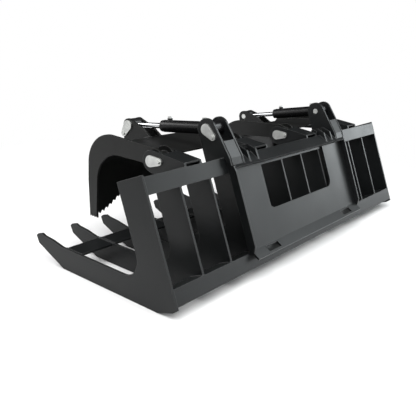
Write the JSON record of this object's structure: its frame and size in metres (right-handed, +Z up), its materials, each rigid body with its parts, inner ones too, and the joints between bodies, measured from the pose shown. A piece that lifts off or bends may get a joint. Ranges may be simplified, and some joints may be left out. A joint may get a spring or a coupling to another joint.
{
  "type": "root grapple",
  "caption": "Wide loader attachment with a comb of L-shaped tines and two hydraulically closed, serrated curved clamping arms.",
  "frame": {"origin": "on the ground, at the middle of the part's box in width and length, with the arms as in the picture", "axes": "+X to the right when standing behind the mount, +Y forward along the tines, +Z up"},
  "size_m": [2.286, 0.925, 0.724],
  "materials": {
    "frame_paint": "satin",
    "arm_paint": "satin",
    "cylinder_paint": "gloss",
    "zinc": "satin",
    "rod_chrome": "polished",
    "bare_steel": "satin",
    "seal": "matte"
  },
  "bodies": {
    "frame": {"tine_01": "frame_paint", "tine_02": "frame_paint", "tine_03": "frame_paint", "tine_04": "frame_paint", "tine_05": "frame_paint", "tine_06": "frame_paint", "tine_07": "frame_paint", "tine_08": "frame_paint", "tine_09": "frame_paint", "tine_10": "frame_paint", "tine_11": "frame_paint", "tine_12": "frame_paint", "top_tube": "frame_paint", "bottom_tube": "frame_paint", "tine_stiffeners": "frame_paint", "mount_plate": "frame_paint", "mount_sides": "frame_paint", "left_tower": "frame_paint", "right_tower": "frame_paint", "left_tower_cover": "frame_paint", "right_tower_cover": "frame_paint", "left_hinge_brackets": "frame_paint", "right_hinge_brackets": "frame_paint", "hose_guides": "frame_paint", "left_hinge_pins": "zinc", "right_hinge_pins": "zinc", "left_tower_pin": "zinc", "right_tower_pin": "zinc", "hinge_pin_keepers": "zinc", "tower_pin_keepers": "zinc"},
    "left_arm": {"left_outer_claw": "arm_paint", "left_inner_claw": "arm_paint", "left_arm_skin": "arm_paint", "left_hinge_tubes": "arm_paint", "left_tongue_plates": "arm_paint", "left_ears": "arm_paint", "left_rod_pin": "zinc", "left_rod_pin_keeper": "zinc"},
    "right_arm": {"right_outer_claw": "arm_paint", "right_inner_claw": "arm_paint", "right_arm_skin": "arm_paint", "right_hinge_tubes": "arm_paint", "right_tongue_plates": "arm_paint", "right_ears": "arm_paint", "right_rod_pin": "zinc", "right_rod_pin_keeper": "zinc"},
    "left_barrel_body": {"left_barrel": "cylinder_paint", "left_gland": "cylinder_paint", "left_port_plugs": "zinc"},
    "right_barrel_body": {"right_barrel": "cylinder_paint", "right_gland": "cylinder_paint", "right_port_plugs": "zinc"},
    "left_rod_body": {"left_rod": "rod_chrome", "left_piston": "bare_steel", "left_piston_seal": "seal"},
    "right_rod_body": {"right_rod": "rod_chrome", "right_piston": "bare_steel", "right_piston_seal": "seal"}
  },
  "joints": [
    {"name": "left_arm_hinge", "type": "hinge", "parent": "frame", "child": "left_arm", "pos_m": [-0.543, -0.02252, 0.54108], "axis": [1, 0, 0], "range_deg": [-10, 42]},
    {"name": "left_barrel_hinge", "type": "hinge", "parent": "frame", "child": "left_barrel_body", "pos_m": [-0.543, -0.11149, 0.67202], "axis": [1, 0, 0], "range_deg": [-8.8, 36]},
    {"name": "left_rod_slide", "type": "slide", "parent": "left_barrel_body", "child": "left_rod_body", "axis": [0, 0.9916, -0.1297], "range_m": [-0.10231, 0.02466]},
    {"name": "right_arm_hinge", "type": "hinge", "parent": "frame", "child": "right_arm", "pos_m": [0.543, -0.02252, 0.54108], "axis": [1, 0, 0], "range_deg": [-4, 48]},
    {"name": "right_barrel_hinge", "type": "hinge", "parent": "frame", "child": "right_barrel_body", "pos_m": [0.543, -0.11149, 0.67202], "axis": [1, 0, 0], "range_deg": [-3.69, 40.95]},
    {"name": "right_rod_slide", "type": "slide", "parent": "right_barrel_body", "child": "right_rod_body", "axis": [0, 0.9773, -0.2118], "range_m": [-0.1129, 0.00978]}
  ],
  "couplings": [
    {"joint": "left_barrel_hinge", "follows": "left_arm_hinge", "ratio": 0.85},
    {"joint": "left_rod_slide", "follows": "left_arm_hinge", "m_per_rad": -0.13902},
    {"joint": "right_barrel_hinge", "follows": "right_arm_hinge", "ratio": 0.8469},
    {"joint": "right_rod_slide", "follows": "right_arm_hinge", "m_per_rad": -0.13429}
  ]
}
